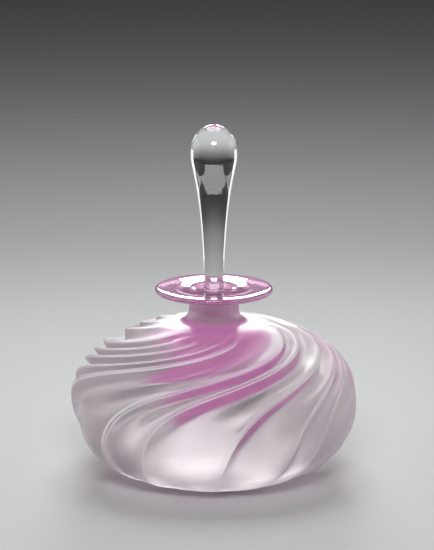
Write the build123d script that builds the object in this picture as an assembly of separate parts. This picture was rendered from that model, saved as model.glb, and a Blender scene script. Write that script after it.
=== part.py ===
from build123d import *
import os
from math import cos, degrees, exp, hypot, pi, radians, sin

# Perfume bottle of thick clear glass, carved in swirling ribs and frosted, cased over a pink
# reservoir, with a flat flared pink lip and a clear drop-shaped stopper on a ground peg.
# Millimetres, +Z up. The origin is the centre of the foot, on the surface the bottle stands on.

# ---------------------------------------------------------------- driving dimensions
BODY_RADIUS = 52.3  # at the crests of the ribs
EQUATOR_Z = 27.3
CROWN_RISE = 30.3  # from the equator to the top of the shoulder
BELLY_DROP = 29.8  # from the equator to where the belly would close, below the foot
CROWN_POWER = 2.2  # 2 is an ellipse, and more is fuller
BELLY_POWER = 2.4

NECK_RADIUS = 9.1
NECK_TOP_Z = 65.3
NECK_BLEND_TOP_Z = 61.4

LIP_RADIUS = 21.35
LIP_THICKNESS = 2.2
LIP_TOP_Z = 69.6

GRINDING = 2.0  # ground off below the foot
PUNT_RADIUS = 15.0  # the shallow ground hollow in the middle of the foot
PUNT_DEPTH = 1.2

# ribs: the angle of each crest at the equator, in degrees. They are cut by hand, so unevenly.
CREST_ANGLES = [-184, -135, -115.5, -80, -52, -38, -16, 8, 30, 52, 73, 110, 128, 144, 162]
TWIST = 130.0  # turn of a crest from neck to equator, in degrees
TWIST_MIDDLE = 46.0  # meridian angle where a crest turns fastest
TWIST_SPREAD = 12.0
TWIST_DRIFT = 0.15  # slow turn below the shoulder, in degrees per degree
GROOVE_DEPTH = 4.2
GROOVE_START, GROOVE_FULL = 19.0, 50.0  # meridian angles between which the grooves deepen
GROOVE_FADE = 62.0  # and where they begin to get shallower again, down to the foot
FOOT_GROOVE_SHARE = 0.15  # how much of that depth is left at the foot
CREST_LAND = 1.2  # width of the flat along each crest
CREST_LAND_SHARE = 0.18  # and its most, as a share of the way to the next crest
GROOVE_FLOOR = 0.24  # where across a groove its floor lies, from the steep wall
GROOVE_SWEEP = 1.15  # over 1 carries the floor's hollow further up the gentle side

# reservoir: a squashed bubble of pink glass with a neck tube
BUBBLE_Z = 35.5
BUBBLE_RADIUS = 20.0
BUBBLE_HALF_HEIGHT = 17.5
LINING_WALL = 1.6
LINING_NECK_RADIUS = 6.0
LINING_BLEND = 5.0

# ground seat: a 1 in 10 taper on diameter
SEAT_TOP_Z = 66.3
SEAT_TOP_RADIUS = 3.9
SEAT_BOTTOM_Z = 51.0
TAPER = 0.05
SEAT_GAP = 0.06

# stopper
STOPPER_TOP_Z = 129.2
DROP_RADIUS = 8.36
DROP_WIDEST_Z = 119.2
SHANK_RADIUS = 3.6
DAUBER_RADIUS = 1.5
DAUBER_TIP_RADIUS = 2.3
DAUBER_TIP_LENGTH = 7.0
DAUBER_END_Z = 31.0

# ---------------------------------------------------------------- body surface
SHOULDER_ANGLE = 15.0  # where the neck's hollow curve meets the shoulder
GROOVE_STEPS = [0, 0.07, 0.15, 0.26, 0.42, 0.6, 0.8, 1]  # across a groove
SECTION_TURN, SECTION_STEP = 6.0, 9.0  # most turn, and most meridian angle, between two sections


def ease(x, low, high):
    """0 below low, 1 above high, and smooth between."""
    t = min(1.0, max(0.0, (x - low) / (high - low)))
    return t * t * (3 - 2 * t)


def body_point(angle):
    """(radius, height) of the uncarved body at a meridian angle: 0 at the crown, 90 at the equator."""
    s, c = sin(radians(angle)), cos(radians(angle))
    rise, power = (CROWN_RISE, CROWN_POWER) if c > 0 else (BELLY_DROP, BELLY_POWER)
    reach = (abs(s) ** power + abs(c) ** power) ** (-1 / power)
    return BODY_RADIUS * reach * s, EQUATOR_Z + rise * reach * c


def body_normal(angle):
    """Outward normal of the uncarved body, as (radial, upward)."""
    step = 0.5
    r0, z0 = body_point(angle - step)
    r1, z1 = body_point(angle + step)
    size = hypot(r1 - r0, z1 - z0)
    return (z0 - z1) / size, (r1 - r0) / size


def turn(angle):
    """How far a crest has turned from its place at the equator, in degrees."""
    swirl = TWIST / (1 + exp((angle - TWIST_MIDDLE) / TWIST_SPREAD))
    rest = TWIST / (1 + exp((90 - TWIST_MIDDLE) / TWIST_SPREAD))
    return swirl - rest - TWIST_DRIFT * (angle - 90)


def depth(angle, foot_angle):
    """Groove depth at a meridian angle: nothing at the neck, most on the shoulder, little at the foot."""
    grow = ease(angle, GROOVE_START, GROOVE_FULL)
    fade = 1 - (1 - FOOT_GROOVE_SHARE) * ease(angle, GROOVE_FADE, foot_angle - 12)
    return GROOVE_DEPTH * grow * fade


def land_half_angle(angle, radius, gap):
    """Half the land's width as an angle about the axis, in degrees. A slanting crest takes more."""
    step = 1.0
    r0, z0 = body_point(angle - step)
    r1, z1 = body_point(angle + step)
    along = hypot(r1 - r0, z1 - z0)
    around = radius * radians(turn(angle - step) - turn(angle + step))
    slant = hypot(1, around / along)
    return 0.5 * min(CREST_LAND_SHARE * gap, degrees(CREST_LAND * slant / radius))


def groove_shape(t):
    """Share of the groove depth at t, from 0 at the steep wall to 1 at the next crest."""
    if t < GROOVE_FLOOR:
        return sin(0.5 * pi * t / GROOVE_FLOOR)
    return 0.5 * (1 + cos(pi * ((t - GROOVE_FLOOR) / (1 - GROOVE_FLOOR)) ** GROOVE_SWEEP))


def crests():
    """Pairs of neighbouring crest angles at the equator, all the way round, in rising order."""
    ordered = sorted(CREST_ANGLES)
    return list(zip(ordered, ordered[1:] + [ordered[0] + 360]))


def ring(angle, radius, z, normal, cut):
    """One closed section: for each rib, one spline down into its groove, up and over the next crest."""
    ribs = []
    for crest, following in crests():
        half = land_half_angle(max(angle, SHOULDER_ANGLE + 2), max(radius, 12), following - crest)
        ribs.append((crest + turn(angle), half))
    first, first_half = ribs[0]
    ribs.append((first + 360, first_half))
    edges = []
    for (centre, half), (next_centre, next_half) in zip(ribs, ribs[1:]):
        wall, brow, end = centre + half, next_centre - next_half, next_centre + next_half
        share = cut * min(1.1, 0.8 + (brow - wall) / 130)  # a wide groove is cut a little deeper
        steps = [(wall + (brow - wall) * t, share * groove_shape(t)) for t in GROOVE_STEPS]
        steps += [(brow + (end - brow) * t, 0) for t in (0.4, 1)]
        edges.append(Edge.make_spline([Vector(*at(a, radius, z, normal, inward)) for a, inward in steps]))
    return Wire(edges)


def at(around, radius, z, normal, inward):
    """A point at an angle about the axis, pushed in along the normal."""
    r = radius - inward * normal[0]
    return r * cos(radians(around)), r * sin(radians(around)), z - inward * normal[1]


def neck_blend(share):
    """(radius, height) on the hollow curve from the neck, at 0, to the shoulder, at 1."""
    r1, z1 = body_point(SHOULDER_ANGLE)
    a = 0.5 * pi * share
    return r1 - (r1 - NECK_RADIUS) * cos(a), NECK_BLEND_TOP_Z - (NECK_BLEND_TOP_Z - z1) * sin(a)


def section_angles(low, high):
    """Meridian angles of the sections between two, closer where the crests turn fast."""
    angles = [low]
    while True:
        step = SECTION_STEP
        while abs(turn(angles[-1] + step) - turn(angles[-1])) > SECTION_TURN:
            step -= 0.1
        if angles[-1] + 1.5 * step > high:
            return angles
        angles.append(angles[-1] + step)


def make_outer_body():
    """The carved outside as one solid with no hollow, ground flat at the foot."""
    sections = []
    for z in (NECK_TOP_Z, 0.5 * (NECK_TOP_Z + NECK_BLEND_TOP_Z)):
        sections.append(ring(SHOULDER_ANGLE, NECK_RADIUS, z, (1, 0), 0))
    for share in (0, 0.4, 0.75, 1):
        r, z = neck_blend(share)
        sections.append(ring(SHOULDER_ANGLE, r, z, (1, 0), 0))
    foot_angle = angle_at(0)
    low_angle = angle_at(-GRINDING)
    for angle in section_angles(SHOULDER_ANGLE + 3, low_angle):
        r, z = body_point(angle)
        sections.append(ring(angle, r, z, body_normal(angle), depth(angle, foot_angle)))
    r, z = body_point(low_angle)
    sections.append(ring(low_angle, r, z, (1, 0), depth(low_angle, foot_angle)))
    return split(Solid.make_loft(sections), Plane.XY, keep=Keep.TOP)


def angle_at(height):
    """Meridian angle where the belly comes down to a height."""
    low, high = 91.0, 179.0
    for _ in range(40):
        middle = 0.5 * (low + high)
        if body_point(middle)[1] > height:
            low = middle
        else:
            high = middle
    return low


# ---------------------------------------------------------------- turned pieces
def turned(face):
    """Revolves a half section, drawn in the XZ plane, about the axis."""
    return revolve(face, Axis.Z, 360)


def bubble_face(inset):
    """Half section of the reservoir's solid form, drawn in by inset all over."""
    a, b = BUBBLE_RADIUS - inset, BUBBLE_HALF_HEIGHT - inset
    ellipse = Plane.XZ * (Pos(0, BUBBLE_Z) * Ellipse(a, b))
    half_plane = Plane.XZ * (Pos(50, BUBBLE_Z) * Rectangle(100, 200))
    return ellipse & half_plane


def box_face(radius, low, high):
    """Half section of a cylinder."""
    return Plane.XZ * (Pos(radius / 2, (low + high) / 2) * Rectangle(radius, high - low))


def lining_outside():
    """The pink bubble with its neck tube, as a filled solid."""
    body = turned(bubble_face(0)) + turned(box_face(LINING_NECK_RADIUS, BUBBLE_Z, NECK_TOP_Z))
    seam_z = BUBBLE_Z + BUBBLE_HALF_HEIGHT
    seam = body.edges().sort_by(lambda edge: abs(edge.bounding_box().center().Z - seam_z))[0]
    return fillet([seam], LINING_BLEND)


def seat_radius(z):
    return SEAT_TOP_RADIUS + TAPER * (z - SEAT_TOP_Z)


def seat_face(top, bottom, gap=0.0):
    """Half section of the ground taper between two heights."""
    points = [(0, 0, bottom), (seat_radius(bottom) - gap, 0, bottom)]
    points += [(seat_radius(top) - gap, 0, top), (0, 0, top)]
    return make_face(Polyline(*points, close=True))


def make_lining():
    hollow = turned(bubble_face(LINING_WALL)) + turned(seat_face(NECK_TOP_Z, BUBBLE_Z + 10))
    return lining_outside() - hollow


def make_casing():
    body = make_outer_body() - lining_outside()
    sphere = (PUNT_RADIUS**2 + PUNT_DEPTH**2) / (2 * PUNT_DEPTH)
    return body - Pos(0, 0, PUNT_DEPTH - sphere) * Sphere(sphere)


def make_lip():
    """Flat flared lip: a disc with a rounded rim, a funnel down to the seat and a hollowed underside."""
    rim = LIP_THICKNESS / 2
    rim_z = LIP_TOP_Z - rim
    throat = seat_radius(NECK_TOP_Z), seat_radius(SEAT_TOP_Z)
    mouth_r, mouth_z = 8.4, LIP_TOP_Z - 0.65
    bead = 9.3, LIP_TOP_Z - 0.2
    inner = LIP_RADIUS - rim
    under_r = NECK_RADIUS + 3.2
    edges = [
        Line((throat[0], 0, NECK_TOP_Z), (throat[1], 0, SEAT_TOP_Z)),
        Spline(
            (throat[1], 0, SEAT_TOP_Z),
            (5.2, 0, SEAT_TOP_Z + 1.15),
            (mouth_r, 0, mouth_z),
            tangents=[(0.15, 0, 1), (1, 0, 0.28)],
        ),
        Spline((mouth_r, 0, mouth_z), (bead[0], 0, bead[1]), tangents=[(1, 0, 0.28), (1, 0, 0.02)]),
        Line((bead[0], 0, bead[1]), (inner, 0, LIP_TOP_Z)),
        ThreePointArc((inner, 0, LIP_TOP_Z), (LIP_RADIUS, 0, rim_z), (inner, 0, rim_z - rim)),
        Line((inner, 0, rim_z - rim), (under_r, 0, rim_z - rim - 0.15)),
        Spline(
            (under_r, 0, rim_z - rim - 0.15),
            (NECK_RADIUS, 0, NECK_TOP_Z),
            tangents=[(-1, 0, 0), (-0.1, 0, -1)],
        ),
        Line((NECK_RADIUS, 0, NECK_TOP_Z), (throat[0], 0, NECK_TOP_Z)),
    ]
    return turned(make_face(edges))


# ---------------------------------------------------------------- stopper
FINIAL_BOTTOM_Z = SEAT_TOP_Z + 0.4
PEG_BOTTOM_Z = SEAT_BOTTOM_Z - 0.6


def make_finial():
    """Solid drop, whose shank narrows down to the ground peg."""
    foot = seat_radius(SEAT_TOP_Z) - SEAT_GAP
    crown = Spline(
        (0, STOPPER_TOP_Z),
        (2.9, STOPPER_TOP_Z - 0.75),
        (5.35, STOPPER_TOP_Z - 2.25),
        (7.2, STOPPER_TOP_Z - 4.75),
        (DROP_RADIUS, DROP_WIDEST_Z),
        tangents=[(1, 0), (0, -1)],
    )
    flank = Spline(
        (DROP_RADIUS, DROP_WIDEST_Z),
        (7.65, 113.1),
        (6.0, 104.3),
        (4.9, 95.4),
        (4.2, 86.6),
        (3.75, 77.8),
        (SHANK_RADIUS, 71.0),
        tangents=[(0, -1), (0, -1)],
    )
    shoulder = Spline((SHANK_RADIUS, 71.0), (foot, FINIAL_BOTTOM_Z), tangents=[(0, -1), (0.1, -1)])
    base = Line((foot, FINIAL_BOTTOM_Z), (0, FINIAL_BOTTOM_Z))
    axis = Line((0, FINIAL_BOTTOM_Z), (0, STOPPER_TOP_Z))
    return turned(Plane.XZ * make_face([crown, flank, shoulder, base, axis]))


def make_peg():
    """Ground taper that seals in the neck, with a rounded lower edge."""
    top = seat_radius(SEAT_TOP_Z) - SEAT_GAP
    bottom = seat_radius(PEG_BOTTOM_Z) - SEAT_GAP
    points = [(0, 0, PEG_BOTTOM_Z), (bottom, 0, PEG_BOTTOM_Z), (top, 0, SEAT_TOP_Z)]
    points += [(top, 0, FINIAL_BOTTOM_Z), (0, 0, FINIAL_BOTTOM_Z)]
    body = turned(make_face(Polyline(*points, close=True)))
    return fillet(body.edges().sort_by(Axis.Z)[0:1], 0.7)


def make_dauber():
    """Thin applicator rod that ends in a long bead."""
    bead_z = DAUBER_END_Z + DAUBER_TIP_LENGTH / 2
    bead = EllipticalCenterArc(
        (0, bead_z), DAUBER_TIP_RADIUS, DAUBER_TIP_LENGTH / 2, start_angle=-90, arc_size=180
    )
    close = Line((0, bead_z + DAUBER_TIP_LENGTH / 2), (0, DAUBER_END_Z))
    rod = box_face(DAUBER_RADIUS, bead_z, PEG_BOTTOM_Z)
    return turned(Plane.XZ * make_face([bead, close])) + turned(rod)


PIECES = {
    "frosted_casing": make_casing,
    "pink_reservoir_lining": make_lining,
    "flared_lip": make_lip,
    "stopper_finial": make_finial,
    "stopper_ground_peg": make_peg,
    "stopper_dauber": make_dauber,
}

os.makedirs("parts", exist_ok=True)
for name, make in PIECES.items():
    export_step(make(), f"parts/{name}.step")
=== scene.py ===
import bpy
from math import atan2, cos, exp, hypot, pi, radians, sin
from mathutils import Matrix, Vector


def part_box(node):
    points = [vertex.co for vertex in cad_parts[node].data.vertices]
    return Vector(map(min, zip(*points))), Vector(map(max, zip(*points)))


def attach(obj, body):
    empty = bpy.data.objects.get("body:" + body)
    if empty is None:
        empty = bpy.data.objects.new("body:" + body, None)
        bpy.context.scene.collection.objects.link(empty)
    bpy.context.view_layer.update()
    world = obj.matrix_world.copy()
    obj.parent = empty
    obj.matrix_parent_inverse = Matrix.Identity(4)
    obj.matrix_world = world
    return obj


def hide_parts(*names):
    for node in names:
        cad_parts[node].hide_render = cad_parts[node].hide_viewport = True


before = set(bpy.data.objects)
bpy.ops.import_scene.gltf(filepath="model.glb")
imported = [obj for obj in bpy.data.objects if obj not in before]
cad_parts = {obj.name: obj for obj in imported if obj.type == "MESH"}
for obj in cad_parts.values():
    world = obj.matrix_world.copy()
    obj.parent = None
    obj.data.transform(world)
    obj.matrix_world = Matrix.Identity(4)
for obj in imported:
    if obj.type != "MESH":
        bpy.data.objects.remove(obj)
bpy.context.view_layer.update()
MM = 0.001


# ---------------------------------------------------------------- small helpers
def ease(x, low, high):
    """0 below low, 1 above high, and smooth between."""
    t = min(1.0, max(0.0, (x - low) / (high - low)))
    return t * t * (3 - 2 * t)


def through(points, steps):
    """A smooth curve through points, as a list of points: steps pieces between each two."""
    count = len(points)
    chord = [0.0]
    for p, q in zip(points, points[1:]):
        chord.append(chord[-1] + hypot(q[0] - p[0], q[1] - p[1]))
    slopes = []
    for i in range(count):
        a, b = max(0, i - 1), min(count - 1, i + 1)
        if 0 < i < count - 1:
            h0, h1 = chord[i] - chord[a], chord[b] - chord[i]
            slopes.append([
                ((points[i][k] - points[a][k]) / h0 * h1 + (points[b][k] - points[i][k]) / h1 * h0)
                / (h0 + h1) for k in (0, 1)
            ])
        else:
            span = chord[b] - chord[a]
            slopes.append([(points[b][k] - points[a][k]) / span for k in (0, 1)])
    out = []
    for i in range(count - 1):
        h = chord[i + 1] - chord[i]
        for j in range(steps):
            t = j / steps
            h00, h10 = 2 * t**3 - 3 * t**2 + 1, t**3 - 2 * t**2 + t
            h01, h11 = -2 * t**3 + 3 * t**2, t**3 - t**2
            out.append(tuple(
                h00 * points[i][k] + h10 * h * slopes[i][k]
                + h01 * points[i + 1][k] + h11 * h * slopes[i + 1][k] for k in (0, 1)
            ))
    out.append(points[-1])
    return out


def mesh_object(name, verts, faces, materials, indices):
    """A smooth mesh from points in mm. indices holds each face's place in materials."""
    mesh = bpy.data.meshes.new(name)
    mesh.from_pydata([tuple(c * MM for c in v) for v in verts], [], faces)
    for m in materials:
        mesh.materials.append(m)
    for i, face in enumerate(mesh.polygons):
        face.use_smooth = True
        face.material_index = indices[i]
    mesh.update()
    obj = bpy.data.objects.new(name, mesh)
    bpy.context.scene.collection.objects.link(obj)
    return obj


ON_AXIS = 1e-6  # a row with a smaller radius than this is a single point on the axis


def turned(name, rows, materials, segments):
    """A closed revolved piece. rows are (r, z, material) in mm, from the axis round the section to the axis
    or back to the start; the material is that of the band from this row to the next."""
    loop = rows[0][0] > ON_AXIS
    verts, faces, indices, starts = [], [], [], []
    for r, z, _ in rows:
        starts.append(len(verts))
        if r < ON_AXIS:
            verts.append((0, 0, z))
        else:
            verts += [
                (r * cos(2 * pi * k / segments), r * sin(2 * pi * k / segments), z)
                for k in range(segments)
            ]
    pairs = list(zip(range(len(rows)), range(1, len(rows)))) + ([(len(rows) - 1, 0)] if loop else [])
    area = sum(rows[a][0] * rows[b][1] - rows[b][0] * rows[a][1] for a, b in pairs)
    if not loop:
        area += rows[-1][0] * rows[0][1] - rows[0][0] * rows[-1][1]
    for a, b in pairs:
        ring_a, ring_b = rows[a][0] > ON_AXIS, rows[b][0] > ON_AXIS
        for k in range(segments):
            after = (k + 1) % segments
            if ring_a and ring_b:
                faces.append((starts[a] + k, starts[a] + after, starts[b] + after, starts[b] + k))
            elif ring_a:
                faces.append((starts[a] + k, starts[a] + after, starts[b]))
            else:
                faces.append((starts[a], starts[b] + after, starts[b] + k))
            indices.append(rows[a][2])
    if area < 0:
        faces = [face[::-1] for face in faces]
    return mesh_object(name, verts, faces, materials, indices)


def arc(cx, cz, r, a0, a1, steps):
    """Points on an arc in the section, angles in degrees from +r towards +z."""
    return [
        (cx + r * cos(radians(a0 + (a1 - a0) * i / steps)),
         cz + r * sin(radians(a0 + (a1 - a0) * i / steps)))
        for i in range(steps + 1)
    ]


# ---------------------------------------------------------------- materials
def material(name):
    m = bpy.data.materials.new(name)
    m.use_nodes = True
    tree = m.node_tree
    shader = tree.nodes["Principled BSDF"]
    return m, tree, shader


def noise(tree, scale, detail, roughness):
    coords = tree.nodes.new("ShaderNodeTexCoord")
    node = tree.nodes.new("ShaderNodeTexNoise")
    node.inputs["Scale"].default_value = scale
    node.inputs["Detail"].default_value = detail
    node.inputs["Roughness"].default_value = roughness
    tree.links.new(coords.outputs["Object"], node.inputs["Vector"])
    return node.outputs["Fac"]


def spread(tree, value, low, high):
    """The middle of a noise, widened to run from low to high."""
    node = tree.nodes.new("ShaderNodeMapRange")
    node.inputs["From Min"].default_value = 0.3
    node.inputs["From Max"].default_value = 0.7
    node.inputs["To Min"].default_value = low
    node.inputs["To Max"].default_value = high
    tree.links.new(value, node.inputs["Value"])
    return node.outputs["Result"]


def bump(tree, shader, value, distance, strength):
    node = tree.nodes.new("ShaderNodeBump")
    node.inputs["Strength"].default_value = strength
    node.inputs["Distance"].default_value = distance
    tree.links.new(value, node.inputs["Height"])
    tree.links.new(node.outputs["Normal"], shader.inputs["Normal"])


def mixed_colour(tree, shader, value, one, two):
    value = spread(tree, value, 0, 1)
    node = tree.nodes.new("ShaderNodeMix")
    node.data_type = "RGBA"
    node.inputs["A"].default_value = (*one, 1)
    node.inputs["B"].default_value = (*two, 1)
    tree.links.new(value, node.inputs["Factor"])
    tree.links.new(node.outputs["Result"], shader.inputs["Base Color"])


GLASS_IOR = 1.5


def frosted_glass():
    """Etched glass: a fine grain over broad, faint changes of tint and gloss."""
    m, tree, s = material("frosted_glass")
    s.inputs["Transmission Weight"].default_value = 0.86
    s.inputs["IOR"].default_value = GLASS_IOR
    mottle = noise(tree, 90, 3, 0.6)
    mixed_colour(tree, s, mottle, (0.98, 0.91, 0.95), (1.0, 0.96, 0.98))
    tree.links.new(spread(tree, mottle, 0.32, 0.4), s.inputs["Roughness"])
    bump(tree, s, noise(tree, 4200, 2, 0.7), 0.00002, 0.6)
    return m


def painted_highlight_edge():
    """The sharp edges of each rib, which catch the light: a paler, less clear glass paints their highlight.
    """
    m, tree, s = material("rib_edge_painted_highlight")
    s.inputs["Transmission Weight"].default_value = 0.25
    s.inputs["IOR"].default_value = GLASS_IOR
    grain = noise(tree, 2500, 2, 0.6)
    mixed_colour(tree, s, grain, (0.96, 0.9, 0.94), (1, 0.98, 0.99))
    tree.links.new(spread(tree, grain, 0.3, 0.45), s.inputs["Roughness"])
    return m


def joined_glass(name, colour=(1, 1, 1), through_share=1.0):
    """A face where two pieces of glass are fused. Light isn't bent there, and through_share of it passes."""
    m, tree, s = material(name)
    s.inputs["Base Color"].default_value = (*colour, 1)
    s.inputs["Transmission Weight"].default_value = through_share
    s.inputs["Roughness"].default_value = 0
    s.inputs["IOR"].default_value = 1.0
    return m


def polished_glass(name, colour, through_share=1.0):
    """Fire-polished glass with a slow ripple and patches of faint wear."""
    m, tree, s = material(name)
    s.inputs["Base Color"].default_value = (*colour, 1)
    s.inputs["Transmission Weight"].default_value = through_share
    s.inputs["IOR"].default_value = GLASS_IOR
    wear = noise(tree, 60, 3, 0.5)
    tree.links.new(spread(tree, wear, 0.0, 0.02), s.inputs["Roughness"])
    bump(tree, s, noise(tree, 35, 1, 0.4), 0.00003, 0.5)
    return m


def ground_glass():
    """The matt seat of the stopper, ground with grit."""
    m, tree, s = material("ground_glass")
    s.inputs["Transmission Weight"].default_value = 0.9
    s.inputs["IOR"].default_value = GLASS_IOR
    grain = noise(tree, 2500, 3, 0.7)
    mixed_colour(tree, s, grain, (0.9, 0.9, 0.91), (1, 1, 1))
    tree.links.new(spread(tree, grain, 0.35, 0.5), s.inputs["Roughness"])
    bump(tree, s, grain, 0.00003, 0.6)
    return m


frost = frosted_glass()
# a paler, less clear glass on the ribs' edges: a painted highlight
edge = painted_highlight_edge()
fused = joined_glass("fused_clear")
pink = polished_glass("pink_glass", (1.0, 0.6, 0.86))
fused_pink = joined_glass("fused_pink", (1.0, 0.24, 0.76), 0.12)
fused_neck = joined_glass("fused_pale_pink", (1.0, 0.74, 0.91), 0.6)
pale = polished_glass("pale_pink_glass", (1.0, 0.62, 0.88), 0.8)
clear = polished_glass("clear_glass", (1, 1, 1))
ground = ground_glass()

# ---------------------------------------------------------------- the body's carved surface, in mm
lip_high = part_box("flared_lip")[1]
finial_low, finial_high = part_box("stopper_finial")
NECK_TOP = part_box("pink_reservoir_lining")[1].z / MM
LIP_R, LIP_TOP = lip_high.x / MM, lip_high.z / MM
STOPPER_TOP, DROP_R = finial_high.z / MM, finial_high.x / MM

BODY_R, EQUATOR, RISE, DROP = 52.3, 27.3, 30.3, 29.8  # DROP is to where the belly would close
CROWN_POWER, BELLY_POWER = 2.2, 2.4  # 2 is an ellipse, and more is fuller
NECK_R, BLEND_TOP = 9.1, 61.4
SHOULDER = 15.0  # meridian angle where the neck's hollow curve meets the shoulder
# each rib's angle at the equator: they are cut by hand, so unevenly
CRESTS = [-184, -135, -115.5, -80, -52, -38, -16, 8, 30, 52, 73, 110, 128, 144, 162]
TWIST, TWIST_MIDDLE, TWIST_SPREAD, TWIST_DRIFT = 130, 46, 12, 0.15
GROOVE = 4.2  # depth
GROOVE_START, GROOVE_FULL, GROOVE_FADE = 19, 50, 62  # meridian angles
FOOT_SHARE, FOOT_FADE = 0.15, 12  # share of the depth left at the foot, and how far before it
LAND, LAND_SHARE = 1.2, 0.09  # width along each crest, and its half's most, as a share of the gap
FLOOR, SWEEP = 0.24, 1.15  # where across a groove its floor is, and how far its hollow carries on
PUNT_R, PUNT = 15.0, 1.2  # the foot's hollow
BUBBLE_Z, BUBBLE_R, BUBBLE_H, WALL = 35.5, 20.0, 17.5, 1.6  # BUBBLE_H is half the height
BUBBLE_START, BUBBLE_STEP, BUBBLE_STEPS = 34, 3.4, 42  # degrees from its top to its bottom
TUBE_R, SEAT_R, SEAT_Z, TAPER = 6.0, 3.9, 66.3, 0.05  # TAPER is on radius
NECK_RINGS, BLEND_RINGS, BODY_RINGS = 3, 12, 136
LINING_SEGMENTS = 96
FOOT_FLAT = 8  # over this many degrees the surface comes to rest on the foot's level


def body_point(angle):
    """(r, z) of the uncarved body at a meridian angle: 0 at the crown, 90 at the equator."""
    s, c = sin(radians(angle)), cos(radians(angle))
    rise, power = (RISE, CROWN_POWER) if c > 0 else (DROP, BELLY_POWER)
    reach = (abs(s) ** power + abs(c) ** power) ** (-1 / power)
    return BODY_R * reach * s, EQUATOR + rise * reach * c


def body_normal(angle):
    """Its outward normal, as (radial, upward)."""
    r0, z0 = body_point(angle - 0.5)
    r1, z1 = body_point(angle + 0.5)
    size = hypot(r1 - r0, z1 - z0)
    return (z0 - z1) / size, (r1 - r0) / size


def turn(angle):
    """How far a crest has turned round the axis from where it crosses the equator, in degrees."""
    def swirl(x):
        return TWIST / (1 + exp((x - TWIST_MIDDLE) / TWIST_SPREAD))
    return swirl(angle) - swirl(90) - TWIST_DRIFT * (angle - 90)


def angle_at(height):
    """The meridian angle below the equator where the body is at this height."""
    low, high = 91.0, 179.0
    for _ in range(40):
        middle = 0.5 * (low + high)
        low, high = (middle, high) if body_point(middle)[1] > height else (low, middle)
    return low


FOOT_ANGLE = angle_at(0)


def depth(angle):
    fade = 1 - (1 - FOOT_SHARE) * ease(angle, GROOVE_FADE, FOOT_ANGLE - FOOT_FADE)
    return GROOVE * ease(angle, GROOVE_START, GROOVE_FULL) * fade


def land_half(angle, radius, gap):
    """Half the width of a crest's land, in degrees, wider where the crest runs aslant."""
    r0, z0 = body_point(angle - 1)
    r1, z1 = body_point(angle + 1)
    slant = hypot(1, radius * radians(turn(angle - 1) - turn(angle + 1)) / hypot(r1 - r0, z1 - z0))
    return min(LAND_SHARE * gap, 0.5 * LAND * slant / radius * 180 / pi)


def groove_shape(t):
    """A groove's depth, 0 to 1, across it: a steep wall, a floor, and a gentle rise."""
    if t < FLOOR:
        return sin(0.5 * pi * t / FLOOR)
    return 0.5 * (1 + cos(pi * ((t - FLOOR) / (1 - FLOOR)) ** SWEEP))


# columns across a groove, closer at the steep wall, then across the land, closer at its two edges
WALL_STEPS = [0, 0.015, 0.03, 0.06, 0.1, 0.14, 0.18, 0.22, 0.26, 0.31, 0.37, 0.43, 0.49, 0.55, 0.61, 0.67,
              0.73, 0.79, 0.85, 0.9, 0.93, 0.96, 0.98]
LAND_STEPS = [0, 0.2, 0.4, 0.6, 0.8]
COLUMNS = len(WALL_STEPS) + len(LAND_STEPS)
EDGE_COLUMNS = {0, len(WALL_STEPS) - 1, len(WALL_STEPS), COLUMNS - 1}
EDGE_DEPTH = 0.9  # mm: grooves shallower than this have soft edges, without the painted highlight
FROST_FACE, FUSED_FACE, EDGE_FACE = 0, 1, 2  # places in the body's list of materials


def section(angle, radius, z, normal, cut):
    """One ring of points of the carved surface."""
    ordered = sorted(CRESTS)
    ribs = []
    for crest, following in zip(ordered, ordered[1:] + [ordered[0] + 360]):
        half = land_half(max(angle, SHOULDER + 2), max(radius, 12), following - crest)
        ribs.append((crest + turn(angle), half))
    ribs.append((ribs[0][0] + 360, ribs[0][1]))
    ring = []
    for (centre, half), (next_centre, next_half) in zip(ribs, ribs[1:]):
        wall, brow, end = centre + half, next_centre - next_half, next_centre + next_half
        share = cut * min(1.1, 0.8 + (brow - wall) / 130)
        row = [(wall + (brow - wall) * t, share * groove_shape(t)) for t in WALL_STEPS]
        row += [(brow + (end - brow) * t, 0) for t in LAND_STEPS]
        for around, inward in row:
            r = radius - inward * normal[0]
            a = radians(around)
            ring.append((r * cos(a), r * sin(a), z - inward * normal[1]))
    return ring


def lining_profile():
    """Outside of the lining, from the neck's top down to the bottom pole."""
    points = [(TUBE_R, NECK_TOP), (TUBE_R, 61.0)]
    points += through([(TUBE_R, 58.5), (6.25, 55.5), (7.6, 53.0), (10.2, 51.0)], 5)
    points += [(BUBBLE_R * sin(radians(a)), BUBBLE_Z + BUBBLE_H * cos(radians(a)))
               for a in [BUBBLE_START + BUBBLE_STEP * i for i in range(1, BUBBLE_STEPS + 1)]]
    return points + [(0, BUBBLE_Z - BUBBLE_H)]


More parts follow.
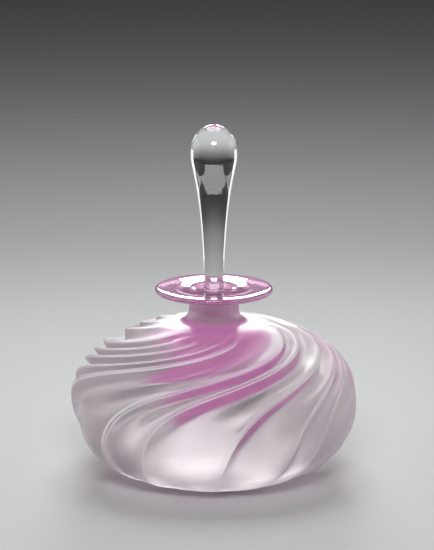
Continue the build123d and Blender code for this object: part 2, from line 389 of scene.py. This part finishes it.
def casing():
    """The body: verts, faces, each face's material, columns round it, and the hollow's first ring and
    how many points that has."""
    rings = [section(SHOULDER, NECK_R, NECK_TOP + (BLEND_TOP - NECK_TOP) * i / NECK_RINGS, (1, 0), 0)
             for i in range(NECK_RINGS)]
    sharp = [False] * (NECK_RINGS + BLEND_RINGS)
    r1, z1 = body_point(SHOULDER)
    for i in range(BLEND_RINGS):
        a = 0.5 * pi * i / BLEND_RINGS
        rings.append(section(
            SHOULDER, r1 - (r1 - NECK_R) * cos(a), BLEND_TOP - (BLEND_TOP - z1) * sin(a), (1, 0), 0))
    for i in range(BODY_RINGS + 1):
        angle = SHOULDER + (FOOT_ANGLE - SHOULDER) * i / BODY_RINGS
        r, z = body_point(angle)
        normal = body_normal(angle)
        flat = ease(angle, FOOT_ANGLE - FOOT_FLAT, FOOT_ANGLE)
        tilt = (normal[0], normal[1] * (1 - flat))
        rings.append(section(angle, r, max(z, 0), tilt, depth(angle)))
        sharp.append(depth(angle) > EDGE_DEPTH)
    across = len(rings[0])
    verts = [p for ring in rings for p in ring]
    faces, kinds = [], []
    for i in range(len(rings) - 1):
        upper, lower = i * across, (i + 1) * across
        for k in range(across):
            after = (k + 1) % across
            faces.append((upper + k, lower + k, lower + after, upper + after))
            # the faces along each land's two edges, where the grooves are deep, get the painted highlight
            # glass
            kinds.append(EDGE_FACE if sharp[i] and k % COLUMNS in EDGE_COLUMNS else FROST_FACE)
    # the foot: a flat ring and its shallow hollow
    last = (len(rings) - 1) * across
    foot_rows = [verts[last:last + across]]
    sphere = (PUNT_R**2 + PUNT**2) / (2 * PUNT)
    for r in (24, PUNT_R, 14.5, 12, 9, 6, 3):
        z = 0 if r >= PUNT_R else PUNT - sphere + (sphere**2 - r**2) ** 0.5
        ring = []
        for x, y, _ in foot_rows[0]:
            size = hypot(x, y)
            ring.append((x / size * r, y / size * r, z))
        foot_rows.append(ring)
    for ring in foot_rows[1:]:
        start = len(verts)
        verts += ring
        for k in range(across):
            after = (k + 1) % across
            faces.append((last + k, start + k, start + after, last + after))
            kinds.append(FROST_FACE)
        last = start
    verts.append((0, 0, PUNT))
    for k in range(across):
        faces.append((last + k, len(verts) - 1, last + (k + 1) % across))
        kinds.append(FROST_FACE)
    # the hollow that the lining fills, and the neck's top
    segments, rows = LINING_SEGMENTS, lining_profile()
    first = len(verts)
    for r, z in rows[:-1]:
        verts += [(r * cos(2 * pi * k / segments), r * sin(2 * pi * k / segments), z)
                  for k in range(segments)]
    verts.append((0, 0, rows[-1][1]))
    for i in range(len(rows) - 2):
        for k in range(segments):
            a, b = first + i * segments, first + (i + 1) * segments
            after = (k + 1) % segments
            faces.append((a + k, a + after, b + after, b + k))
            kinds.append(FUSED_FACE)
    a = first + (len(rows) - 2) * segments
    for k in range(segments):
        faces.append((a + k, a + (k + 1) % segments, len(verts) - 1))
        kinds.append(FUSED_FACE)
    return verts, faces, kinds, across, first, segments


def bridge(outer, inner, faces, kinds, points, kind):
    """Fills the flat ring between two loops of different counts, both in rising angle."""
    def place(i):
        x, y, _ = points[i]
        return atan2(y, x) % (2 * pi)
    outer = sorted(outer, key=place)
    inner = sorted(inner, key=place)
    i = j = 0
    n, m = len(outer), len(inner)
    while i < n or j < m:
        a = place(outer[i % n]) + (2 * pi if i >= n else 0)
        b = place(inner[j % m]) + (2 * pi if j >= m else 0)
        next_a = place(outer[(i + 1) % n]) + (2 * pi if i + 1 >= n else 0)
        next_b = place(inner[(j + 1) % m]) + (2 * pi if j + 1 >= m else 0)
        if j >= m or (i < n and next_a <= next_b):
            faces.append((outer[i % n], outer[(i + 1) % n], inner[j % m]))
            i += 1
        else:
            faces.append((outer[i % n], inner[(j + 1) % m], inner[j % m]))
            j += 1
        kinds.append(kind)


verts, faces, kinds, across, first, segments = casing()
bridge(range(across), range(first, first + segments), faces, kinds, verts, FUSED_FACE)
body = mesh_object("body_glass", verts, faces, [frost, fused, edge], kinds)
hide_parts("frosted_casing")
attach(body, "bottle")


# ---------------------------------------------------------------- lining, lip and stopper, in mm
def seat_r(z):
    return SEAT_R + TAPER * (z - SEAT_Z)


NECK_BLEND = 56.0  # above this the lining is a thin, paler neck tube
SLIT = 0.03  # fused faces are kept this far apart, so that no two lie in one place
outside = [(r - SLIT, z - SLIT) if r > 1 and z >= NECK_TOP else (r - SLIT if r > SLIT else 0, z)
           for r, z in lining_profile()]
outside[-1] = (0, BUBBLE_Z - BUBBLE_H + SLIT)
inner_h, inner_r = BUBBLE_H - WALL, BUBBLE_R - WALL
INSIDE_TOP, INSIDE_STEPS = 13.2, 60  # degrees from its pole to where the bubble opens into the neck
inside = []
for i in range(INSIDE_STEPS + 1):
    a = radians(180 - (180 - INSIDE_TOP) * i / INSIDE_STEPS)
    r, z = inner_r * sin(a), BUBBLE_Z + inner_h * cos(a)
    inside.append((max(r, 0), z))
inside[0] = (0, BUBBLE_Z - inner_h)
inside += [(seat_r(z), z) for z in (51.6, 56, 61)]
inside.append((seat_r(NECK_TOP), NECK_TOP - SLIT))
profile = [(r, z, 1) for r, z in inside[:-1]] + [(*inside[-1], 0)]
# from the bottom pole inside, up to the neck's top, across, and down the outside to the pole
profile += [(r, z, 2 if z > NECK_BLEND else 0) for r, z in outside]
lining = turned("reservoir_lining", profile, [fused_pink, pink, fused_neck], LINING_SEGMENTS)
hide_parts("pink_reservoir_lining")
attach(lining, "bottle")

LIP_HALF = 1.1  # half the lip's thickness, and the radius of its rim
rim_z = LIP_TOP - LIP_HALF
rim_centre_r = LIP_R - LIP_HALF
under_z = rim_z - LIP_HALF
under_r = NECK_R + 3.2  # where the flat underside begins to curve down into the neck
section_points = [(seat_r(NECK_TOP), NECK_TOP + SLIT, 0), (SEAT_R, SEAT_Z, 0)]
funnel = [(SEAT_R, SEAT_Z), (4.15, SEAT_Z + 0.55), (5.2, SEAT_Z + 1.15), (6.7, SEAT_Z + 2.0),
          (8.4, LIP_TOP - 0.65), (8.85, LIP_TOP - 0.36), (9.5, LIP_TOP - 0.2)]
section_points += [(r, z, 0) for r, z in through(funnel, 5)][1:]
section_points += [(r, z, 0) for r, z in ((13, LIP_TOP - 0.13), (17, LIP_TOP - 0.06))]
section_points += [(r, z, 0) for r, z in arc(rim_centre_r, rim_z, LIP_HALF, 90, -90, 18)]
underside = [(17, under_z - 0.05), (14.5, under_z - 0.1), (under_r, under_z - 0.15),
             (10.6, under_z - 0.42), (9.55, under_z - 1.0), (NECK_R, NECK_TOP + SLIT)]
section_points += [(r, z, 0) for r, z in through(underside, 5)][:-1]
section_points += [(NECK_R, NECK_TOP + SLIT, 1)]
lip = turned("flared_lip_glass", section_points, [pale, fused], 160)
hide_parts("flared_lip")
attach(lip, "bottle")

GAP = 0.06  # between the ground peg and its seat
peg_top, peg_bottom = finial_low.z / MM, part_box("stopper_ground_peg")[0].z / MM
drop = [(0, STOPPER_TOP), (2.9, STOPPER_TOP - 0.75), (5.35, STOPPER_TOP - 2.25), (7.2, STOPPER_TOP - 4.75),
        (8.15, STOPPER_TOP - 7.6), (DROP_R, 119.2), (8.24, 116.4), (7.65, 113.1), (6.0, 104.3), (4.9, 95.4),
        (4.2, 86.6), (3.75, 77.8), (3.6, 71.0), (seat_r(SEAT_Z) - GAP, peg_top)]
head_rows = [(0, peg_top, 1)] + [(r, z, 0) for r, z in through(drop[::-1], 8)][:-1]
head_rows.append((0, STOPPER_TOP, 0))
finial = turned("stopper_head", head_rows, [clear, fused], 128)
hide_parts("stopper_finial")
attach(finial, "stopper")

PEG_EDGE = 0.7  # radius of the rounding at the peg's lower end
peg_r, peg_top_r = seat_r(peg_bottom) - GAP, seat_r(SEAT_Z) - GAP
peg_rows = [(0, peg_bottom, 0)]
peg_rows += [(r, z, 0) for r, z in arc(peg_r - PEG_EDGE, peg_bottom + PEG_EDGE, PEG_EDGE, -90, 0, 6)]
peg_rows += [(peg_top_r, SEAT_Z, 0), (peg_top_r, peg_top - SLIT, 1), (0, peg_top - SLIT, 1)]
peg = turned("stopper_peg", peg_rows, [ground, fused], 96)
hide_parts("stopper_ground_peg")
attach(peg, "stopper")

dauber_low, dauber_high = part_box("stopper_dauber")
end, rod_top = dauber_low.z / MM, dauber_high.z / MM
bead_r, bead_h, rod_r = dauber_high.x / MM, 3.5, 1.5
rows = [(bead_r * sin(radians(a)), end + bead_h - bead_h * cos(radians(a)), 0) for a in range(0, 140, 10)]
rows[0] = (0, end, 0)
rows += [(rod_r, end + 2 * bead_h - 0.7, 0), (rod_r, rod_top, 1), (0, rod_top, 1)]
dauber = turned("stopper_rod", rows, [clear, fused], 48)
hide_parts("stopper_dauber")
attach(dauber, "stopper")


# ---------------------------------------------------------------- floor, lights and camera
def floor(half):
    """A plain pale floor, half metres from its middle to each side."""
    mesh = bpy.data.meshes.new("floor")
    corners = [(-half, -half, 0), (half, -half, 0), (half, half, 0), (-half, half, 0)]
    mesh.from_pydata(corners, [], [(0, 1, 2, 3)])
    obj = bpy.data.objects.new("floor", mesh)
    bpy.context.scene.collection.objects.link(obj)
    m, _, s = material("floor_paper")
    s.inputs["Base Color"].default_value = (0.56, 0.565, 0.57, 1)
    s.inputs["Roughness"].default_value = 0.8
    s.inputs["Specular IOR Level"].default_value = 0.2
    mesh.materials.append(m)


def softbox(name, place, target, width, height, energy, beam):
    """A white rectangular light in watts, facing target, with beam its spread in degrees."""
    data = bpy.data.lights.new(name, "AREA")
    data.shape = "RECTANGLE"
    data.size = width
    data.size_y = height
    data.energy = energy
    data.spread = radians(beam)
    obj = bpy.data.objects.new(name, data)
    bpy.context.scene.collection.objects.link(obj)
    obj.location = place
    obj.rotation_mode = "QUATERNION"
    obj.rotation_quaternion = (Vector(target) - Vector(place)).to_track_quat("-Z", "Y")


floor(6)
softbox("softbox", (0, 0.28, 0.62), (0, 0, 0.03), 0.4, 0.4, 2.4, 180)
softbox("back_softbox", (0, 0.7, 0.3), (0, 0, 0.04), 0.3, 0.1, 0.14, 40)
for side, x in (("left", -0.42), ("right", 0.42)):
    softbox(side + "_panel", (x, 0.1, 0.14), (0, 0, 0.09), 0.42, 0.28, 0.2, 110)
softbox("front_fill", (0, -0.9, 0.7), (0, 0, 0.04), 0.5, 0.3, 1.9, 90)

world = bpy.data.worlds.new("studio")
world.use_nodes = True
world.node_tree.nodes["Background"].inputs["Color"].default_value = (0.03, 0.03, 0.03, 1)
world.node_tree.nodes["Background"].inputs["Strength"].default_value = 1
bpy.context.scene.world = world

scene = bpy.context.scene
scene.cycles.max_bounces = 24
scene.cycles.transmission_bounces = 20
scene.cycles.glossy_bounces = 8
scene.cycles.caustics_refractive = True
scene.cycles.sample_clamp_indirect = 6
scene.view_settings.view_transform = "Standard"

# a long lens from a little above, aimed at the axis partway up, and nearly centred
tilt, away = radians(13.1), 1.2
aim_x, aim_z = 0.00112, 0.0738
camera_data = bpy.data.cameras.new("camera")
camera_data.sensor_width = 36
camera_data.lens = 217.2
camera_data.clip_start, camera_data.clip_end = 0.05, 50
camera = bpy.data.objects.new("camera", camera_data)
bpy.context.scene.collection.objects.link(camera)
camera.location = (aim_x, -away * cos(tilt), aim_z + away * sin(tilt))
camera.rotation_euler = (pi / 2 - tilt, 0, 0)
scene.camera = camera
